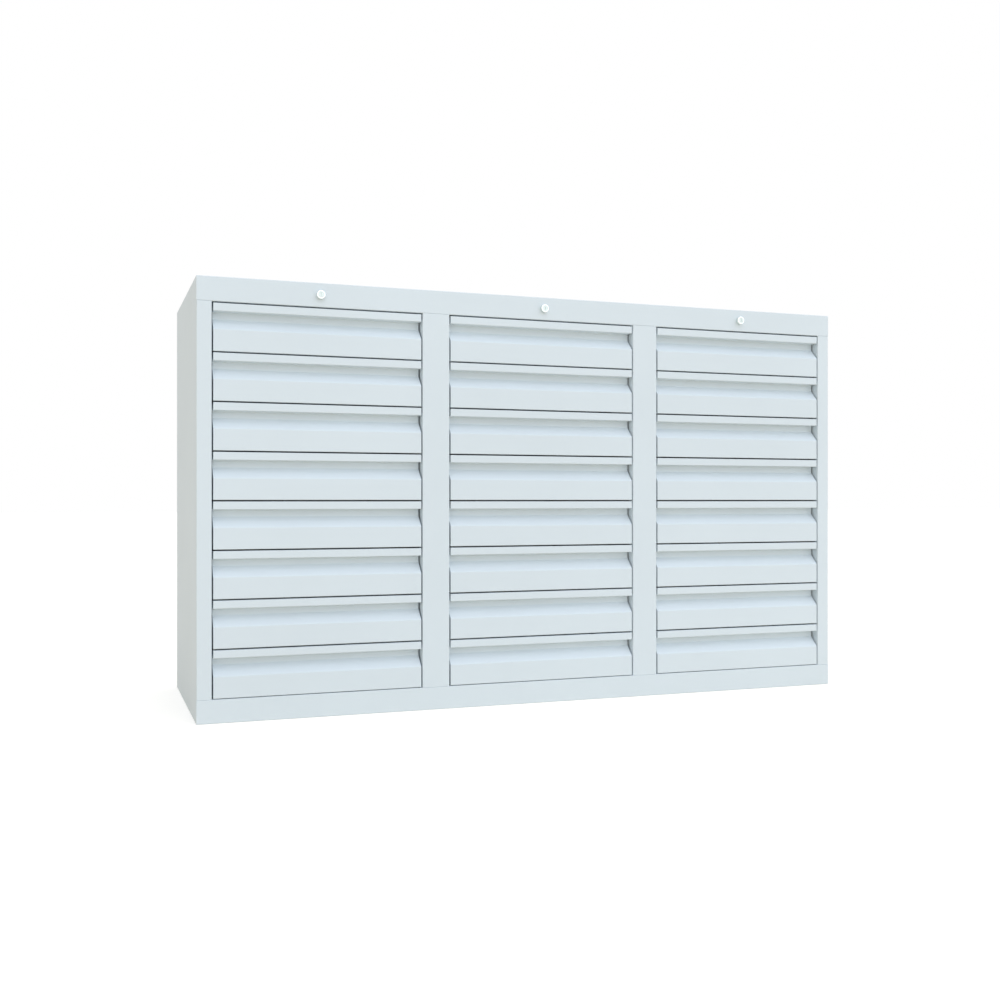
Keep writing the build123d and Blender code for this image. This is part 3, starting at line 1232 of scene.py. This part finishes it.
@dataclass
class LockGear:
    """The three locks: bodies, nuts, brackets and guides on the case, and the cores that turn."""

    finishes: Finishes
    height: float = 875 * MM
    front: float = -250 * MM
    ring: float = 9.2 * MM
    ring_length: float = 8.0 * MM
    ring_bend: float = 1.5 * MM
    ring_steps: int = 5
    barrel: float = 8.0 * MM
    barrel_back: float = -222 * MM
    barrel_edge: float = 0.15 * MM
    bore: float = 6.2 * MM
    plug: float = 6.0 * MM
    plug_recess: float = 0.3 * MM
    plug_edge: float = 0.25 * MM
    collar: float = 7.5 * MM
    collar_front: float = -221.7 * MM
    collar_back: float = -219.7 * MM
    key_slot: Move = (1.8 * MM, 7.0 * MM, 12.0 * MM)
    shutter: Move = (0.8 * MM, 0.6 * MM, 0.05 * MM)
    rod: float = 3.0 * MM
    rod_hole: float = 3.3 * MM
    crank_front: float = 220.8 * MM
    crank_sheet: float = 3.0 * MM
    crank_reach: float = 12.0 * MM
    crank_half: float = 5.0 * MM
    crank_bend: float = 4.99 * MM
    crank_steps: int = 8
    crank_edge: float = 0.3 * MM
    crank_turn: float = 225.0
    pin: float = 2.0 * MM
    pin_back: float = 231.8 * MM
    nut_flats: float = 22.0 * MM
    nut_front: float = -248.8 * MM
    nut_back: float = -244.8 * MM
    nut_edge: float = 0.4 * MM
    nut_turn: float = 30.0
    bracket_low: Move = (-12.0 * MM, 202.8 * MM, 867 * MM)
    bracket_high: Move = (12.0 * MM, 204.8 * MM, 898.8 * MM)
    bracket_bend: float = 6.0 * MM
    bracket_steps: int = 6
    bracket_edge: float = 0.2 * MM
    guide_middle: float = -10.243 * MM
    guide_half: float = 16.4 * MM
    guide_front: float = 223.4 * MM
    guide_back: float = 248.8 * MM
    guide_size: float = 12.0 * MM
    guide_rise: float = 80.0 * MM
    guide_edge: float = 0.8 * MM
    guide_rows: Tuple[int, ...] = (1, 7)
    slot_half: float = 12.4 * MM
    slot_front: float = 227.4 * MM
    slot_back: float = 231.2 * MM
    slot_edge: float = 0.15 * MM
    beyond: float = 1 * MM

    def __post_init__(self) -> None:
        """Finds the line that the first column's lock turns about."""
        self.middle = column_middle(COLUMNS[0])
        self.line = (self.middle, self.height)

    def build(self) -> List[Piece]:
        """Builds and dresses the locks: the first column's, and a copy over each column.

        Returns:
            Their pieces.
        """
        patterns = body, bracket, core = self._body(), self._brackets(), self._core()
        bodies, brackets, cores = [], [], []
        for letter in COLUMNS:
            move = (column_middle(letter) - self.middle, 0.0, 0.0)
            bodies.append(copy(body, f"lock_body_{letter}", move))
            brackets.append(copy(bracket, f"lock_brackets_{letter}", move))
            turned = copy(core, f"turned_core_{letter}", move)
            name = f"lock_{letter}_core"
            cores.append(fit(turned, name, "polished_lock_metal", name))
        for pattern in patterns:
            bpy.data.objects.remove(pattern)
        shells = join(bodies, "nickel_lock_bodies")
        holders = join(brackets, "rod_brackets_and_bar_guides")
        return [
            fit(shells, "case", "polished_lock_metal", "lock_fittings"),
            fit(holders, "case", "zinc_plated_steel", "lock_fittings"),
        ] + cores

    def _bore(self, piece: Piece, front: float, back: float, radius: float, sides: Sides) -> None:
        """Bores a part on the lock's line, right through from its front to its back."""
        drill(piece, self.line, front - self.beyond, back + self.beyond, radius, sides)

    def _body(self) -> Piece:
        """Turns one lock's ring and barrel, bores them and screws the nut on.

        Returns:
            The body.
        """
        nose, back = self.front - self.ring_length, self.barrel_back
        steps = ((nose, self.ring), (self.front, self.ring), (self.front, self.barrel), (back, self.barrel))
        body = turning("lock_body", self.line, steps, Sides.RING)
        edit(body)
        pick_edges(body, at(Y, nose))
        round_off(self.ring_bend, self.ring_steps)
        close()
        self._bore(body, nose, back, self.bore, Sides.RING)
        finish(body, self.barrel_edge)
        return dress(join([body, self._nut()], "lock_body"), self.finishes.lock)

    def _nut(self) -> Piece:
        """Makes the hexagonal nut behind the rail.

        Returns:
            The nut.
        """
        front, back, reach = self.nut_front, self.nut_back, self.nut_flats / sqrt(3)
        steps = ((front, reach), (back, reach))
        nut = turning("lock_nut", self.line, steps, Sides.NUT, radians(self.nut_turn))
        self._bore(nut, front, back, self.barrel, Sides.BARREL)
        return finish(nut, self.nut_edge)

    def _brackets(self) -> Piece:
        """Makes one lock's rod bracket and its bar guides.

        Returns:
            The bracket and the guides, joined.
        """
        move = Vector((self.middle, 0.0, 0.0))
        low, high = Vector(self.bracket_low) + move, Vector(self.bracket_high) + move
        plate = bar("rod_bracket", low, high)
        edit(plate)
        pick_edges(plate, lambda a, b: at(Z, low.z)(a, b) and near(a.x, b.x))
        round_off(self.bracket_bend, self.bracket_steps)
        close()
        self._bore(plate, low.y, high.y, self.rod_hole, Sides.HOLE)
        finish(plate, self.bracket_edge, segments=1)
        made = [plate] + [self._guide(row) for row in self.guide_rows]
        return dress(join(made, "lock_brackets"), self.finishes.bar)

    def _guide(self, row: int) -> Piece:
        """Makes one guide block with the slot that the lock bar slides through.

        Args:
            row: the drawer that it stands beside.

        Returns:
            The guide.
        """
        x = self.middle + self.guide_middle
        z0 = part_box(f"drawer_a{row}_front")[0].z + self.guide_rise
        z1 = z0 + self.guide_size
        low, high = (x - self.guide_half, self.guide_front, z0), (x + self.guide_half, self.guide_back, z1)
        guide = bar("bar_guide", low, high, self.guide_edge)
        low = (x - self.slot_half, self.slot_front, z0 - self.beyond)
        cut(guide, bar("guide_slot", low, (x + self.slot_half, self.slot_back, z1 + self.beyond)))
        return finish(guide, self.slot_edge, segments=1)

    def _core(self) -> Piece:
        """Turns one lock's plug and rod, cuts the shuttered key slot, and adds the crank and its pin.

        Returns:
            The core.
        """
        nose = self.front - self.ring_length + self.plug_recess
        front, back = self.collar_front, self.collar_back
        steps = ((nose, self.plug), (front, self.plug), (front, self.collar), (back, self.collar))
        plug = turning("lock_plug", self.line, steps, Sides.BARREL)
        wide, high, deep = self.key_slot
        slot_low = Vector((self.middle - wide / 2, nose - self.beyond, self.height - high / 2))
        slot_high = Vector((self.middle + wide / 2, nose + deep, self.height + high / 2))
        cut(plug, bar("key_slot", slot_low, slot_high))
        finish(plug, self.plug_edge)
        sunk, thick, gap = self.shutter
        low = (slot_low.x + gap, nose + sunk, slot_low.z + gap)
        high = (slot_high.x - gap, nose + sunk + thick, slot_high.z - gap)
        shutter = smooth(bar("key_slot_shutter", low, high, gap))
        rod = turning("lock_rod", self.line, ((back, self.rod), (self.crank_front, self.rod)), Sides.ROD)
        steel = (smooth(rod), *self._crank())
        made = [dress(piece, self.finishes.plug) for piece in (plug, shutter)]
        made += [dress(piece, self.finishes.bar) for piece in steel]
        return join(made, "lock_core")

    def _crank(self) -> Tuple[Piece, Piece]:
        """Makes the crank at its unlocked angle.

        Returns:
            The crank's plate and its pin.
        """
        angle = radians(self.crank_turn)
        reach = Vector((round(cos(angle), 6), 0.0, round(sin(angle), 6))) * self.crank_reach
        middle = Vector((self.middle, self.crank_front, self.height)) + reach / 2
        size = (self.crank_reach + 2 * self.crank_half, 2 * self.crank_half)
        plate = plane("crank_plate", middle, (QUARTER, -angle, 0.0), size)
        edit(plate)
        pull((0.0, self.crank_sheet, 0.0))
        face_out(plate)
        pick_edges(plate, lambda a, b: not near(a.y, b.y))
        round_off(self.crank_bend, self.crank_steps)
        close()
        tip = Vector((self.middle, 0.0, self.height)) + reach
        steps = ((self.crank_front + self.crank_sheet, self.pin), (self.pin_back, self.pin))
        pin = turning("crank_pin", (tip.x, tip.z), steps, Sides.ROD)
        return finish(plate, self.crank_edge), finish(pin, self.crank_edge)


@dataclass
class InnerSteel:
    """The runners and the lock bars, whose own solids are shown with their finish."""

    finishes: Finishes

    def build(self) -> List[Piece]:
        """Dresses the solids and gives them back."""
        dressed = [self._dress("drawer_runners", self.finishes.runner)]
        return dressed + [self._dress(f"lock_{letter}_bar", self.finishes.bar) for letter in COLUMNS]

    def _dress(self, node: str, material: bpy.types.Material) -> Piece:
        """Puts a material into every slot of a node's object.

        Args:
            node: the node.
            material: the material.

        Returns:
            The node's object.
        """
        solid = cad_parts[node]
        for slot in solid.material_slots:
            slot.material = material
        return solid


# The studio

def stand(name: str, data: Union[bpy.types.Light, bpy.types.Camera], place: Move) -> Piece:
    """Puts a lamp or a camera in the scene.

    Args:
        name: its name.
        data: what it is.
        place: where it stands.

    Returns:
        Its object.
    """
    made = bpy.data.objects.new(name, data)
    bpy.context.scene.collection.objects.link(made)
    made.location = place
    return made


@dataclass(frozen=True)
class SoftLamp:
    """One wide soft lamp that hangs far off and points at the cabinet."""

    name: str
    place: Move
    strength: float
    tint: Move
    spread: float

    def hang(self) -> None:
        """Hangs the lamp."""
        data = bpy.data.lights.new(self.name, "SUN")
        data.energy = self.strength
        data.color = self.tint
        data.angle = radians(self.spread)
        lamp = stand(self.name, data, self.place)
        lamp.rotation_euler = (-lamp.location).to_track_quat("-Z", "Y").to_euler()


@dataclass
class Studio:
    """Floor, lamps, white surroundings and camera."""

    finishes: Finishes
    floor_size: float = 80.0
    sky: float = 0.665
    sky_tint: Colour = (0.98, 0.98, 0.975, 1.0)
    lamps: Tuple[SoftLamp, ...] = (
        SoftLamp("soft_front_lamp", (1.3, -3.9, 3.3), 1.68, (0.755, 0.85, 1.0), 100.0),
        SoftLamp("soft_rear_lamp", (2.6, 3.9, 3.3), 0.45, (0.85, 0.9, 1.0), 70.0),
    )
    camera_place: Move = (-0.9642, -2.6132, 0.450)
    camera_turn: float = -20.0
    focal_pixels: float = 1147.5
    picture_pixels: float = 1000.0
    sensor: float = 36.0

    def build(self) -> None:
        """Makes all of the studio."""
        self._floor()
        self._sky()
        for lamp in self.lamps:
            lamp.hang()
        self._camera()

    def _floor(self) -> None:
        """Lays the floor under the cabinet."""
        half = self.floor_size / 2
        floor = sheet("studio_floor", (-half, -half, 0.0), (half, half, 0.0))
        dress(floor, self.finishes.floor)

    def _sky(self) -> None:
        """Surrounds the studio with soft light, and with plain white where it is seen."""
        world = bpy.data.worlds.new("studio_white")
        bpy.context.scene.world = world
        world.use_nodes = True
        wiring = Wiring(world.node_tree)
        light = wiring.node("ShaderNodeBackground", {}, {"Color": self.sky_tint, "Strength": self.sky})
        plain = wiring.node("ShaderNodeBackground", {}, {"Color": WHITE, "Strength": 1.0})
        mixed = wiring.node("ShaderNodeMixShader", {}, {0: wiring.seen(), 1: light, 2: plain})
        wiring.end("ShaderNodeOutputWorld", mixed)

    def _camera(self) -> None:
        """Stands the camera at the photograph's place, level and with its own lens."""
        data = bpy.data.cameras.new("camera")
        data.sensor_width = self.sensor
        data.lens = self.focal_pixels / self.picture_pixels * self.sensor
        camera = stand("camera", data, self.camera_place)
        camera.rotation_euler = (QUARTER, 0.0, radians(self.camera_turn))
        bpy.context.scene.camera = camera


def main() -> None:
    """Builds the cabinet and its studio in order."""
    logging.basicConfig(level=logging.INFO, format="%(name)s: %(message)s")
    bpy.context.scene.view_settings.view_transform = "Standard"
    finishes = Finishes()
    Studio(finishes).build()
    for group in (CaseShell, DrawerFronts, DrawerTrays, LockGear, InnerSteel):
        for piece in group(finishes).build():
            log.info("%s: %d faces", piece.name, len(piece.data.polygons))


if __name__ == "__main__":
    main()
